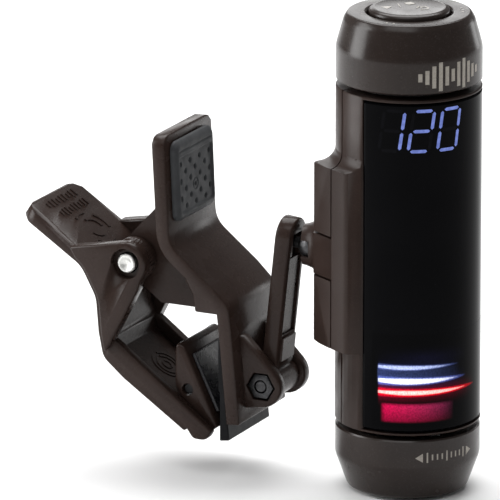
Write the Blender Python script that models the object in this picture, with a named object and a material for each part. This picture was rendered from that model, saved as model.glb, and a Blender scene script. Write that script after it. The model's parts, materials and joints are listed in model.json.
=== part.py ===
"""A clip-on tuner: an upright cylindrical display head on a ball joint and a
swinging arm, carried by a sprung clip with two plastic levers.

Frame: +Z is up along the display head, +X points from the clip to the head,
and +Y is the far end of the clip's pins. The origin is the middle of the
gripping face of the clip's fixed rubber pad, which faces -X. Lengths in this
file are in millimetres, and every mesh is scaled to metres as it is made.
"""
import math

import bmesh
import bpy
from mathutils import Matrix, Vector

MM = 0.001

# --- clip: places in the X-Z plane, measured from the pivot pin's axis -------
PIVOT = (-12.9, 13.05)           # pivot pin's axis, from the origin
BOLT = (18.5, -15.8)             # arm's bolt
STUD = (24.5, 3.7)               # centre of the ball joint
SHOE_PIN = (8.0, -17.3)          # pin that the jaw shoe rocks on
LEVER_HALF = 7.3                 # half the width of both levers
CHEEK_OUTER = 8.4                # outer face of the front lever's cheeks
CHEEK_INNER = 6.2
BOSS_RADIUS = 3.0
BOSS_END = 4.8                   # inner end of the cheek's boss
WEB_OUTER = 4.5                  # thin part of the rear lever's side webs
WEB_INNER = 2.6
WALL = 1.9                       # thickness of a lever's wall
JAW_WALL = 1.5                   # side walls round the shoe
PIN_RADIUS = 1.3
PIN_HOLE = 1.5
COUNTERBORE = (2.15, 1.1)        # radius and depth of the recess round the pin
PAD_FACE = 12.9                  # the fixed pad's gripping face
SHOE_HALF = 5.6
SHOE_PAD_HALF = 4.7
EAR_OUTER = 4.7                  # clevis ears that hold the arm
EAR_INNER = 2.9
ARM_HALF = 2.6
ARM_DEPTH = 2.3
ARM_EYE = 2.3                    # radius of the arm's eye around its bolt
ARM_RECESS = 0.3                 # depth of the shallow recess down the arm's front
STUD_POCKET = 0.8                # depth of the pocket that clears the head's socket
ARM_BACK = 3.9                   # middle of the arm's head, behind the ball's centre
TAB_CORNER = 1.6                 # rounding of the thumb tab's two top corners
HANDLE_CORNER = 2.4              # and of the front handle's
BOLT_RADIUS = 0.85
NUT_FLATS = 3.3
NUT_THICK = 1.0

# --- display head: heights above its base, radii from its own axis -----------
HEAD_AXIS = (12.17, 3.26)        # from the ball's centre, X and Y
HEAD_TURN = -30.0                # degrees, direction that the display faces
BALL_HEIGHT = 32.6               # ball's centre above the head's base
BALL_OUT = 12.6                  # ball's centre from the head's axis
BALL_BEARING = -135.0            # degrees from the display's direction
BODY_RADIUS = 9.8
BORE_RADIUS = 7.3
BODY_LOW, BODY_HIGH = 9.4, 55.7
DIAL_HIGH = 8.7                  # top of the lower dial
CAP_LOW, CAP_HIGH = 56.5, 65.6
BUTTON_RADIUS, BUTTON_TOP = 5.45, 66.3
BUTTON_TRAVEL = 0.6
WINDOW_HALF = 74.0               # degrees each side of the display's direction
WINDOW_IN = 8.5
SEAM = -1.6                      # plane where the rear cover meets the front
BLOCK_LOW, BLOCK_HIGH = 20.2, 45.1
BLOCK_OUT = 11.4                 # flat faces of the mounting block
CHAMFER_OUT = 12.2               # its slanted face under the ball
FLANK_BACK = -6.4                # behind this the block is lower at both ends
BLOCK_STEP = 2.6                 # by this much
LUG_HALF = 2.8                   # half the height of the lug that holds the ball
BALL_RADIUS = 2.4
SOCKET_RADIUS = 2.55
ROD_RADIUS = 0.75
BATTERY_RADIUS, BATTERY_LENGTH = 5.25, 44.5
BATTERY_BACK = -1.95             # battery's axis lies this far behind the middle

GAP = 0.3                        # clearance between pieces that sit together
ROUND = 64                       # sides of the large turned pieces
SMALL = 24                       # sides of pins and holes

BROWN = (0.045, 0.035, 0.031)
BLACK = (0.008, 0.008, 0.009)
RUBBER = (0.022, 0.023, 0.025)
STEEL = (0.62, 0.62, 0.6)
DARK_STEEL = (0.08, 0.08, 0.085)
GREEN = (0.02, 0.12, 0.05)


# --- outlines -----------------------------------------------------------------
def arc(centre, radius, start, end, steps):
    """Points along an arc, with both ends, angles in degrees."""
    points = []
    for k in range(steps + 1):
        a = math.radians(start + (end - start) * k / steps)
        points.append((centre[0] + radius * math.cos(a), centre[1] + radius * math.sin(a)))
    return points


def rounded(points, closed=True, steps=4):
    """An outline whose corners (x, z, radius) are turned into arcs."""
    result = []
    count = len(points)
    for k, point in enumerate(points):
        corner = Vector(point[:2])
        radius = point[2] if len(point) > 2 else 0.0
        at_end = not closed and k in (0, count - 1)
        if radius == 0.0 or at_end:
            result.append(tuple(corner))
            continue
        before = (Vector(points[k - 1][:2]) - corner).normalized()
        after = (Vector(points[(k + 1) % count][:2]) - corner).normalized()
        half = before.angle(after) / 2
        reach = radius / math.tan(half)
        centre = corner + (before + after).normalized() * radius / math.sin(half)
        start = corner + before * reach - centre
        sweep = math.pi - 2 * half
        turn = 1 if before.x * after.y - before.y * after.x < 0 else -1
        for j in range(steps + 1):
            spin = Matrix.Rotation(turn * sweep * j / steps, 2)
            result.append(tuple(centre + spin @ start))
    return result


def beside(path, distance):
    """A path moved to its left by a distance, keeping its corners."""
    moved = []
    for k, point in enumerate(path):
        here = Vector(point)
        into = here - Vector(path[max(k - 1, 0)])
        out = Vector(path[min(k + 1, len(path) - 1)]) - here
        sides = []
        for way in (into, out):
            if way.length > 1e-6:
                way = way.normalized()
                sides.append(Vector((-way.y, way.x)))
        normal = sum(sides, Vector((0.0, 0.0))).normalized()
        stretch = 1 / max(normal.dot(sides[0]), 0.5)
        moved.append(tuple(here + normal * distance * stretch))
    return moved


def band(path, thickness):
    """A closed outline of even thickness on the left of a path."""
    return list(path) + list(reversed(beside(path, thickness)))


def hull(points):
    """The convex outline round some points."""
    ordered = sorted(set(points))
    sides = []
    for run in (ordered, reversed(ordered)):
        side = []
        for p in run:
            while len(side) > 1:
                a, b = side[-2], side[-1]
                if (b[0] - a[0]) * (p[1] - a[1]) - (b[1] - a[1]) * (p[0] - a[0]) > 0:
                    break
                side.pop()
            side.append(p)
        sides.append(side[:-1])
    return sides[0] + sides[1]


# --- making objects -------------------------------------------------------------
def clear_scene():
    for item in list(bpy.data.objects):
        bpy.data.objects.remove(item)


def new_object(name, mesh_in_mm, parent=None):
    """An object from a bmesh in millimetres, shaded smooth but for its edges."""
    bmesh.ops.recalc_face_normals(mesh_in_mm, faces=mesh_in_mm.faces)
    bmesh.ops.scale(mesh_in_mm, vec=(MM, MM, MM), verts=mesh_in_mm.verts)
    mesh = bpy.data.meshes.new(name)
    mesh_in_mm.to_mesh(mesh)
    mesh_in_mm.free()
    mesh.shade_smooth()
    mesh.set_sharp_from_angle(angle=math.radians(35))
    item = bpy.data.objects.new(name, mesh)
    bpy.context.scene.collection.objects.link(item)
    if parent:
        item.parent = parent
    return item


def empty(name, x, y, z, turn=0.0, parent=None):
    """A joint's marker, at a point in millimetres, turned about Z."""
    item = bpy.data.objects.new(name, None)
    item.empty_display_size = 5 * MM
    item.location = (x * MM, y * MM, z * MM)
    item.rotation_euler.z = math.radians(turn)
    bpy.context.scene.collection.objects.link(item)
    if parent:
        item.parent = parent
    return item


def prism(name, outline, low, high, along="Y", parent=None, shift=(0.0, 0.0)):
    """An outline pushed along Y (drawn in X-Z) or along Z (drawn in X-Y)."""
    work = bmesh.new()
    rings = []
    for level in (low, high):
        ring = []
        for a, b in outline:
            a, b = a + shift[0], b + shift[1]
            place = (a, level, b) if along == "Y" else (a, b, level)
            ring.append(work.verts.new(place))
        rings.append(ring)
    count = len(outline)
    for k in range(count):
        n = (k + 1) % count
        work.faces.new((rings[0][k], rings[0][n], rings[1][n], rings[1][k]))
    work.faces.new(rings[0])
    work.faces.new(list(reversed(rings[1])))
    return new_object(name, work, parent)


def blade(name, outline, half, tip, radius, parent, shift=(0.0, 0.0)):
    """An outline pushed along Y, its tip's two corners rounded in plan. The tip
    is given as the two outline points at the end and the neighbours they face."""
    work = bmesh.new()
    rings = []
    quarter = [math.radians(30 * k) for k in range(4)]
    levels = [(-half + radius * (1 - math.cos(a)), radius * (1 - math.sin(a))) for a in quarter]
    levels += [(-y, pull) for y, pull in reversed(levels)]
    for y, pull in levels:
        points = [Vector(p) for p in outline]
        for end, inner in tip:
            way = (Vector(outline[inner]) - Vector(outline[end])).normalized()
            points[end] += way * pull
        rings.append([work.verts.new((p.x + shift[0], y, p.y + shift[1])) for p in points])
    count = len(outline)
    for ring, other in zip(rings, rings[1:]):
        for k in range(count):
            n = (k + 1) % count
            work.faces.new((ring[k], ring[n], other[n], other[k]))
    work.faces.new(rings[0])
    work.faces.new(list(reversed(rings[-1])))
    return new_object(name, work, parent)


def turned(name, profile, sides, parent=None, axis=None):
    """A profile of (radius, height) points turned about Z, or about an axis
    given as (point, direction)."""
    work = bmesh.new()
    rings = []
    for radius, height in profile:
        if radius < 1e-6:
            rings.append([work.verts.new((0, 0, height))])
            continue
        ring = []
        for k in range(sides):
            a = 2 * math.pi * k / sides
            ring.append(work.verts.new((radius * math.cos(a), radius * math.sin(a), height)))
        rings.append(ring)
    for j, ring in enumerate(rings):
        other = rings[(j + 1) % len(rings)]
        if len(ring) == 1 and len(other) == 1:
            continue
        for k in range(sides):
            n = (k + 1) % sides
            corners = []
            for vert in (ring[k % len(ring)], ring[n % len(ring)],
                         other[n % len(other)], other[k % len(other)]):
                if vert not in corners:
                    corners.append(vert)
            work.faces.new(corners)
    if axis:
        point, direction = axis
        spin = Vector((0, 0, 1)).rotation_difference(Vector(direction)).to_matrix().to_4x4()
        bmesh.ops.transform(work, matrix=Matrix.Translation(point) @ spin, verts=work.verts)
    return new_object(name, work, parent)


def rod(name, radius, start, end, sides=SMALL, parent=None):
    """A plain round bar between two points."""
    a, b = Vector(start), Vector(end)
    profile = [(0, 0), (radius, 0), (radius, (b - a).length), (0, (b - a).length)]
    return turned(name, profile, sides, parent, (a, b - a))


def box(name, low, high, parent=None):
    work = bmesh.new()
    bmesh.ops.create_cube(work, size=1)
    size = [b - a for a, b in zip(low, high)]
    middle = [(a + b) / 2 for a, b in zip(low, high)]
    bmesh.ops.scale(work, vec=size, verts=work.verts)
    bmesh.ops.translate(work, vec=middle, verts=work.verts)
    return new_object(name, work, parent)


def wire(name, points, radius, parent=None, sides_level=1):
    """A round wire along points, with closed ends."""
    data = bpy.data.curves.new(name, "CURVE")
    data.dimensions = "3D"
    data.bevel_depth = radius * MM
    data.bevel_resolution = sides_level
    data.use_fill_caps = True
    spline = data.splines.new("POLY")
    spline.points.add(len(points) - 1)
    for vert, point in zip(spline.points, points):
        vert.co = (point[0] * MM, point[1] * MM, point[2] * MM, 1)
    item = bpy.data.objects.new(name, data)
    bpy.context.scene.collection.objects.link(item)
    if parent:
        item.parent = parent
    return item


def soften(item, width, segments=2):
    """Round the edges of an object, before any Boolean."""
    modifier = item.modifiers.new("edges", "BEVEL")
    modifier.width = width * MM
    modifier.segments = segments
    modifier.limit_method = "ANGLE"
    modifier.angle_limit = math.radians(40)
    return item


def combine(item, operation, *tools):
    for tool in tools:
        modifier = item.modifiers.new(operation.lower(), "BOOLEAN")
        modifier.operation = operation
        modifier.solver = "EXACT"
        modifier.object = tool
        tool.hide_render = True
        tool.display_type = "WIRE"
    return item


def add(item, *tools):
    return combine(item, "UNION", *tools)


def cut(item, *tools):
    return combine(item, "DIFFERENCE", *tools)


def finish(item, colour, roughness=0.4, metallic=0.0):
    material = bpy.data.materials.new(item.name)
    material.use_nodes = True
    shader = material.node_tree.nodes["Principled BSDF"]
    shader.inputs["Base Color"].default_value = (*colour, 1)
    shader.inputs["Roughness"].default_value = roughness
    shader.inputs["Metallic"].default_value = metallic
    item.data.materials.append(material)
    return item


def at(point, y=0.0):
    """A point measured from the pivot's axis, as X, Y, Z from the origin."""
    return (PIVOT[0] + point[0], y, PIVOT[1] + point[1])


def pin_cut(name, point, radius, low, high):
    return rod(name, radius, at(point, low), at(point, high))


# --- rear lever: thumb tab, front wall, webs, jaw and clevis ears ----------------
REAR_FRONT = [                    # front surface, from the jaw's foot to the tab
    (16.55, -20.8), (15.35, -8.0, 5.0), (14.9, -4.3, 2.5), (12.3, -1.8, 3.0),
    (6.1, 3.2, 3.5), (5.3, 18.1),
]
FIXED_PAD_LOW, FIXED_PAD_HIGH = -23.7, -9.5
FIXED_PAD_LIP = -16.6             # below this the pad is stepped back for the shoe
FIXED_PAD_HALF = 6.3
THUMB_PAD_BACK = ((6.0, 5.9), (5.48, 16.9))
THUMB_PAD_THICK, THUMB_PAD_HALF = 1.0, 5.9


def rear_lever(root):
    surface = rounded(REAR_FRONT, closed=False)
    middle = beside(surface, WALL / 2)
    top = len(surface) - 1
    lever = blade("rear_lever", band(surface, WALL), LEVER_HALF,
                  ((top, top - 1), (top + 1, top + 2)), TAB_CORNER, root, PIVOT)
    soften(lever, 0.45)
    spine = [p for p in middle if -7.0 < p[1] < 8.6]
    thin = arc((0, 0), 2.9, 138, 262, 10) + [(3.6, -5.9), (13.6, -5.9)] + spine + [(3.9, 8.5)]
    thick_edge = [(3.9, 8.7), (4.1, 5.4), (4.75, 3.2), (6.0, 1.3), (8.2, -1.0), (9.6, -3.4),
                  (9.9, -5.75)]
    inner_spine = [p for p in beside(surface, WALL * 0.35) if -7.0 < p[1] < 8.6]
    thick = thick_edge + [(13.4, -5.75)] + inner_spine
    ear = hull(arc(BOLT, 2.95, -90, 90, 12) + [(15.0, -8.9), (16.0, -9.1), (15.6, -19.2)])
    pieces = []
    for side in (-1, 1):
        tag = "near" if side < 0 else "far"
        web = prism("web_" + tag, thin, side * WEB_INNER, side * WEB_OUTER, parent=root, shift=PIVOT)
        rib = prism("rib_" + tag, thick, side * (WEB_OUTER - 0.4), side * (LEVER_HALF - 0.05),
                    parent=root, shift=PIVOT)
        lug = prism("ear_" + tag, ear, side * EAR_INNER, side * EAR_OUTER, parent=root, shift=PIVOT)
        pieces += [web, soften(rib, 0.3), soften(lug, 0.3)]
    add(lever, *pieces)
    nut_seat = prism("nut_seat", arc(BOLT, (NUT_FLATS / 2 + 0.25) / math.cos(math.pi / 6), 0, 300, 5),
                     -EAR_OUTER - 1, -EAR_OUTER + NUT_THICK + 0.15, parent=root, shift=PIVOT)
    cut(lever,
        pin_cut("web_bore", (0, 0), PIN_HOLE, -WEB_OUTER - 1, WEB_OUTER + 1),
        pin_cut("bolt_bore", BOLT, BOLT_RADIUS + 0.15, -EAR_OUTER - 1, EAR_OUTER + 1),
        pin_cut("head_seat", BOLT, 2.0, EAR_OUTER - 1.0, EAR_OUTER + 1),
        nut_seat)
    return finish(lever, BROWN)


def thumb_pad(root):
    """Rubber pad on the tab's front, leaning with it."""
    pad = prism("thumb_pad", band(THUMB_PAD_BACK, -THUMB_PAD_THICK), -THUMB_PAD_HALF,
                THUMB_PAD_HALF, parent=root, shift=PIVOT)
    soften(pad, 0.35)
    return finish(pad, RUBBER, 0.75)


def fixed_jaw_pad(root):
    """Rubber pad with its gripping face at X = 0 and a foot below the jaw."""
    outline = [
        (PAD_FACE + 0.25, FIXED_PAD_LOW), (14.6, FIXED_PAD_LOW + 0.2), (14.35, -21.0),
        (13.55, FIXED_PAD_HIGH), (PAD_FACE, FIXED_PAD_HIGH), (PAD_FACE, FIXED_PAD_LIP),
        (PAD_FACE + 0.25, FIXED_PAD_LIP - 0.25),
    ]
    pad = prism("fixed_jaw_pad", outline, -FIXED_PAD_HALF, FIXED_PAD_HALF, parent=root, shift=PIVOT)
    return finish(pad, RUBBER, 0.7)


# --- front lever: handle, cheeks, bosses, jaw walls and the shoe's lug -----------
FRONT_BACK = [                    # outer surface, from the handle's tip to the jaw
    (-16.6, 4.6), (-7.3, -1.5, 4.0), (-5.1, -5.6, 4.0), (-4.7, -10.4, 6.0),
    (-4.0, -13.9, 2.5), (-0.9, -16.5, 6.0), (8.3, -22.75),
]
SHOE_FRONT = ((7.55, -11.4), (12.5, -21.7))


def front_lever(swing):
    surface = rounded(FRONT_BACK, closed=False)
    lever = blade("front_lever", band(surface, WALL), LEVER_HALF, ((0, 1), (-1, -2)),
                  HANDLE_CORNER, swing)
    soften(lever, 0.45)
    handle_end = [p for p in beside(surface, WALL / 2) if p[0] > -8.6]
    upper = [p for p in handle_end if p[1] > -13.0]
    cheek = [(-8.5, 1.4)] + upper + [(-2.7, -12.2), (1.75, -3.6)] + arc((0, 0), BOSS_RADIUS, -40, 88, 12)
    wall = rounded([(-3.9, -10.6), (-3.1, -13.5), (-0.3, -15.7), (8.0, -21.3), (9.6, -23.6, 1.0),
                    (11.6, -23.6, 1.2), (12.4, -22.2, 0.5), (-1.6, -11.6), (-2.7, -10.9)])
    lug = hull(arc(SHOE_PIN, 1.2, 0, 330, 11) + [(4.6, -19.6), (7.4, -21.4)])
    pieces = []
    for side in (-1, 1):
        tag = "near" if side < 0 else "far"
        pieces.append(soften(prism("cheek_" + tag, cheek, side * CHEEK_INNER, side * CHEEK_OUTER,
                                   parent=swing), 0.3))
        pieces.append(rod("boss_" + tag, BOSS_RADIUS, (0, side * BOSS_END, 0),
                          (0, side * (CHEEK_INNER + 0.5), 0), 40, swing))
        pieces.append(soften(prism("jaw_wall_" + tag, wall, side * (LEVER_HALF - JAW_WALL),
                                   side * (LEVER_HALF + 0.04), parent=swing), 0.25))
    pieces.append(cut(prism("shoe_lug", lug, -1.8, 1.8, parent=swing),
                      rod("shoe_bore", 0.75, (SHOE_PIN[0], -3, SHOE_PIN[1]),
                          (SHOE_PIN[0], 3, SHOE_PIN[1]), parent=swing)))
    add(lever, *pieces)
    for side in (-1, 1):
        tag = "near" if side < 0 else "far"
        radius, depth = COUNTERBORE
        face = side * CHEEK_OUTER
        cut(lever, rod("counterbore_" + tag, radius, (0, face - side * depth, 0), (0, face + side, 0),
                       32, swing))
    cut(lever, rod("pin_bore", PIN_HOLE, (0, -9, 0), (0, 9, 0), parent=swing))
    return finish(lever, BROWN)


def pivot_pin(root):
    """Steel pin with a dimple turned in each end."""
    half = CHEEK_OUTER - 0.35
    profile = [(0, 0.25), (0.7, 0.25), (0.85, 0), (PIN_RADIUS - 0.15, 0), (PIN_RADIUS, 0.15)]
    profile += [(r, 2 * half - z) for r, z in reversed(profile)]
    pin = turned("pivot_pin", profile, 32, root, (at((0, 0), -half), (0, 1, 0)))
    return finish(pin, STEEL, 0.3, 1.0)


def torsion_spring(root):
    """Coils round the pin, one leg to each lever."""
    radius, gauge, turns, steps = 2.05, 0.3, 4.5, 12
    points = [at((3.3, 5.6), 2.0), at((1.2, 2.2), 2.0)]
    total = int(turns * steps)
    for k in range(total + 1):
        a = math.radians(30) + 2 * math.pi * k / steps
        y = 2.0 - 4.0 * k / total
        points.append(at((radius * math.cos(a), radius * math.sin(a)), y))
    points.append(at((-4.2, -2.6), -2.0))
    spring = wire("torsion_spring", points, gauge, root)
    return finish(spring, STEEL, 0.35, 1.0)


# --- jaw shoe ---------------------------------------------------------------------
def shoe_line(distance, extra=0.0):
    """The shoe's gripping line, moved back by a distance and longer by an extra."""
    a, b = Vector(SHOE_FRONT[0]), Vector(SHOE_FRONT[1])
    way = (b - a).normalized()
    back = Vector((way.y, -way.x))
    return [tuple(a - way * extra + back * distance), tuple(b + way * extra + back * distance)]


def jaw_shoe(rock):
    """A shell with two side plates, open at the back for the lever's lug."""
    top, foot = SHOE_FRONT
    side = rounded([
        (top[0], top[1], 0.5), (top[0] - 1.35, top[1] + 0.6, 0.5), (6.1, -12.6, 1.5),
        (6.1, -17.0, 1.5), (7.1, -18.9, 1.5), (10.7, -21.9, 0.6), (foot[0] - 0.9, foot[1] - 1.0, 0.5),
        (foot[0], foot[1] - 0.3, 0.3),
    ])
    local = [(x - SHOE_PIN[0], z - SHOE_PIN[1]) for x, z in side]
    shoe = prism("jaw_shoe", local, -SHOE_HALF, SHOE_HALF, parent=rock)
    soften(shoe, 0.35)
    near, far = shoe_line(0.75, 6.0), shoe_line(9.0, 6.0)
    hollow = [near[0], near[1], far[1], far[0]]
    hollow = [(x - SHOE_PIN[0], z - SHOE_PIN[1]) for x, z in hollow]
    inside = prism("shoe_hollow", hollow, -SHOE_HALF + 1.6, SHOE_HALF - 1.6, parent=rock)
    cut(shoe, inside, rod("shoe_hole", 0.85, (0, -8, 0), (0, 8, 0), parent=rock))
    return finish(shoe, BROWN)


def shoe_pad(rock):
    a, b = Vector(SHOE_FRONT[0]), Vector(SHOE_FRONT[1])
    way = (b - a).normalized()
    out = Vector((-way.y, way.x))
    ends = [a + way * 1.3 + out * 0.1, b - way * 1.6 + out * 0.1]
    line = [(p.x - SHOE_PIN[0], p.y - SHOE_PIN[1]) for p in ends]
    pad = prism("shoe_pad", band(line, 0.55), -SHOE_PAD_HALF, SHOE_PAD_HALF, parent=rock)
    return finish(pad, RUBBER, 0.35)


def shoe_pin(rock):
    pin = rod("shoe_pin", 0.62, (0, -SHOE_HALF + 0.5, 0), (0, SHOE_HALF - 0.5, 0), 20, rock)
    return finish(pin, DARK_STEEL, 0.35, 1.0)


# --- arm and ball stud --------------------------------------------------------------
def arm(swing):
    """Arm with a rounded head, drawn from its bolt, its front recessed inside a thin rim."""
    up = Vector((STUD[0] - ARM_BACK - BOLT[0], STUD[1] - BOLT[1]))
    lean = math.atan2(up.x, up.y)
    length = up.length + 0.9
    front = rounded_bar(length)
    work = bmesh.new()
    rings = []
    for x in (-ARM_DEPTH / 2, ARM_DEPTH / 2):
        rings.append([work.verts.new((x, y, z)) for y, z in front])
    count = len(front)
    for k in range(count):
        n = (k + 1) % count
        work.faces.new((rings[0][k], rings[0][n], rings[1][n], rings[1][k]))
    work.faces.new(rings[0])
    work.faces.new(list(reversed(rings[1])))
    body = new_object("arm", work, swing)
    body.rotation_euler.y = lean
    soften(body, 0.3)
    eye = turned("arm_eye", [(0, -ARM_HALF), (ARM_EYE, -ARM_HALF), (ARM_EYE, ARM_HALF), (0, ARM_HALF)],
                 32, swing, ((0, 0, 0), (0, 1, 0)))
    face = ARM_DEPTH / 2
    step = box("arm_step", (0.2, -1.9, 3.2), (face + 0.35, 1.9, 6.4), swing)
    recess = box("arm_recess", (face - ARM_RECESS, -1.85, 6.8), (3, 1.85, length - 2.5), swing)
    pocket = box("stud_pocket", (face - STUD_POCKET, -1.35, length - 3.0), (3, 1.35, length + 0.6), swing)
    for tool in (step, recess, pocket):
        tool.rotation_euler.y = lean
    add(body, eye, step)
    stud_z = STUD[1] - BOLT[1]
    stud_x = STUD[0] - BOLT[0]
    cut(body, recess, pocket,
        rod("arm_bore", BOLT_RADIUS + 0.15, (0, -5, 0), (0, 5, 0), parent=swing),
        rod("stud_bore", ROD_RADIUS + 0.12, (stud_x - 8, 0, stud_z), (stud_x, 0, stud_z), parent=swing),
        rod("rivet_seat", 1.5, (stud_x - 8, 0, stud_z), (stud_x - 4.45, 0, stud_z), parent=swing))
    return finish(body, BROWN)


def rounded_bar(length):
    """The arm's front view: round at the top, square at the bolt."""
    return [(-ARM_HALF, 0.0), (ARM_HALF, 0.0)] + arc((0, length), ARM_HALF, 0, 180, 14)


def arm_bolt(root):
    """Bolt with a pan head on the far side and its thread's end in the nut."""
    head = EAR_OUTER - 1.0 + 0.1
    profile = [(0, -EAR_OUTER + 0.1), (BOLT_RADIUS - 0.15, -EAR_OUTER + 0.1),
               (BOLT_RADIUS, -EAR_OUTER + 0.25), (BOLT_RADIUS, head), (1.8, head), (1.8, head + 0.8),
               (1.5, head + 1.15), (0, head + 1.25)]
    bolt = turned("arm_bolt", profile, SMALL, root, (at(BOLT), (0, 1, 0)))
    slot = box("bolt_slot", at((BOLT[0] - 2.5, BOLT[1] - 0.25), head + 0.75),
               at((BOLT[0] + 2.5, BOLT[1] + 0.25), head + 2), root)
    cut(bolt, slot)
    return finish(bolt, DARK_STEEL, 0.4, 1.0)


def hex_nut(root):
    corner = NUT_FLATS / 2 / math.cos(math.pi / 6)
    nut = prism("hex_nut", arc(BOLT, corner, 0, 300, 5), -EAR_OUTER + 0.05,
                -EAR_OUTER + 0.05 + NUT_THICK, parent=root, shift=PIVOT)
    soften(nut, 0.15)
    cut(nut, pin_cut("nut_thread", BOLT, BOLT_RADIUS + 0.1, -EAR_OUTER - 1, -EAR_OUTER + 3))
    return finish(nut, DARK_STEEL, 0.45, 1.0)


def ball_stud(roll):
    """Ball on a thin rod, with a flat rivet head behind the arm."""
    tail, seat = -5.25, -4.6
    neck = -math.sqrt(BALL_RADIUS ** 2 - ROD_RADIUS ** 2)
    profile = [(0, tail), (1.25, tail), (1.25, seat), (ROD_RADIUS, seat), (ROD_RADIUS, neck)]
    start = math.degrees(math.asin(neck / BALL_RADIUS))
    profile += [(r, z) for r, z in arc((0, 0), BALL_RADIUS, start, 90, 10)][1:-1]
    profile.append((0, BALL_RADIUS))
    stud = turned("ball_stud", profile, SMALL, roll, ((0, 0, 0), (1, 0, 0)))
    return finish(stud, DARK_STEEL, 0.3, 1.0)


# --- display head ---------------------------------------------------------------------
def sector(inner, outer, half, steps=24):
    """A ring's outline over an angle each side of the display's direction."""
    return arc((0, 0), outer, -half, half, steps) + arc((0, 0), inner, half, -half, steps)


def bearing(distance, across=0.0):
    """A point out along the ball's bearing, and across it, in the head's plan."""
    a = math.radians(BALL_BEARING)
    return (distance * math.cos(a) - across * math.sin(a), distance * math.sin(a) + across * math.cos(a))


def block_plan():
    """The mounting block from above, the same each side of the ball's bearing:
    a flat, a slanted face under the ball, and a flat."""
    back = CHAMFER_OUT * math.sqrt(2) - BLOCK_OUT
    near = [(3.0, -9.3), (1.6, -BLOCK_OUT, 1.2), (-back, -BLOCK_OUT, 1.0)]
    far = [(y, x, *rest) for x, y, *rest in reversed(near)]
    return rounded(near + far)


def block_form(name, low, high, head):
    """Turned solid that trims the block, its shoulder blended into the cylinder."""
    shoulder = arc((BODY_RADIUS + 1.9, high + 1.9), 1.9, 180, 270, 6)
    rim = arc((12.2, high - 1.2), 1.2, 90, 0, 4) + arc((11.6, low + 2.2), 2.2, 0, -90, 5)
    return turned(name, [(0, high + 1.9)] + shoulder + rim + [(0, low)], 72, head)


def shell(name, head):
    """Cylinder and mounting block in one. The block is tall beside the window
    and steps down behind, round the ball."""
    tube = turned(name, [(0, BODY_LOW), (BODY_RADIUS - 0.15, BODY_LOW), (BODY_RADIUS, BODY_LOW + 0.15),
                         (BODY_RADIUS, BODY_HIGH - 0.15), (BODY_RADIUS - 0.15, BODY_HIGH),
                         (0, BODY_HIGH)], ROUND, head)
    block = prism(name + "_block", block_plan(), BLOCK_LOW - 3, BLOCK_HIGH + 3, "Z", head)
    combine(block, "INTERSECT", block_form(name + "_form", BLOCK_LOW, BLOCK_HIGH, head))
    step = box(name + "_step", (-20, -20, 0), (FLANK_BACK, 20, 70), head)
    cut(step, block_form(name + "_low_form", BLOCK_LOW + BLOCK_STEP, BLOCK_HIGH - BLOCK_STEP, head))
    return add(tube, cut(block, step))


def lug_bar(name, spare, head):
    """The bar that carries the ball's socket back across the side of the block."""
    low, high = BALL_HEIGHT - LUG_HALF - spare, BALL_HEIGHT + LUG_HALF + spare
    near, far = bearing(CHAMFER_OUT, 3.9), bearing(CHAMFER_OUT, -2.6 - spare)
    out = 3.0 if spare else 0.0
    corner = (near[0] - out, near[1] - out)
    end = bearing(CHAMFER_OUT + out * 1.5, -2.6 - spare)
    inside = bearing(8.6 - spare, -2.6 - spare)
    plan = [(0.0, -8.2 + spare), (0.0, -BLOCK_OUT - out), corner, end, inside]
    plan += arc((0, 0), 8.2 - spare, 232, 262, 6)
    return prism(name, plan, low, high, "Z", head)


def socket(name, head):
    """Boss round the ball, drawn along its bearing."""
    direction = (*bearing(1.0), 0)
    centre = (0, 0, BALL_HEIGHT)
    profile = [(0, 10.4), (3.9, 10.4), (3.8, 12.1), (3.15, 12.9), (2.85, 13.7), (2.75, 14.2), (0, 14.2)]
    return turned(name, profile, 32, head, (centre, direction))


def front_housing(head):
    body = shell("front_housing", head)
    boss = socket("socket_boss", head)
    centre = Vector((*bearing(BALL_OUT), BALL_HEIGHT))
    half_space = box("front_trim", (-20, -20, 0), (SEAM, 20, 70), head)
    bore = rod("front_bore", BORE_RADIUS, (0, 0, 5), (0, 0, 60), 48, head)
    pocket = prism("window_pocket", sector(WINDOW_IN - 0.25, 12, WINDOW_HALF), BODY_LOW + 0.3,
                   BODY_HIGH - 0.3, "Z", head)
    display_gap = box("display_gap", (5, -5.2, 36), (9, 5.2, 51), head)
    bars_gap = box("bars_gap", (5, -5.2, 11), (9, 5.2, 24), head)
    cut(body, half_space, bore, pocket, display_gap, bars_gap)
    add(body, lug_bar("lug", 0.0, head), boss)
    cavity = turned("socket_cavity", [(0, -SOCKET_RADIUS)] + [
        (r, z) for r, z in arc((0, 0), SOCKET_RADIUS, -80, 80, 12)] + [(0, SOCKET_RADIUS)],
        SMALL, head, (centre, (0, 0, 1)))
    slot = box("socket_slot", (0.5, -6, -1.15), (4, 6, 1.15), head)
    slot.location = centre * MM
    slot.rotation_euler.z = math.radians(BALL_BEARING)
    cut(body, cavity, slot)
    return finish(body, BROWN)


def battery_cover(head):
    cover = shell("battery_cover", head)
    front = box("cover_trim", (SEAM - 0.25, -20, 0), (20, 20, 70), head)
    bore = rod("cover_bore", BORE_RADIUS, (0, 0, 5), (0, 0, 60), 48, head)
    clear_boss = turned("boss_clearance", [(0, 9), (4.2, 9), (4.2, 16), (0, 16)], 32, head,
                        ((0, 0, BALL_HEIGHT), (*bearing(1.0), 0)))
    cut(cover, front, bore, lug_bar("lug_notch", GAP, head), clear_boss)
    return finish(cover, BROWN)


def display_window(head):
    window = prism("display_window", sector(WINDOW_IN, BODY_RADIUS, WINDOW_HALF - 0.7, 36),
                   BODY_LOW + 0.5, BODY_HIGH - 0.5, "Z", head)
    return finish(window, BLACK, 0.06)


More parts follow.
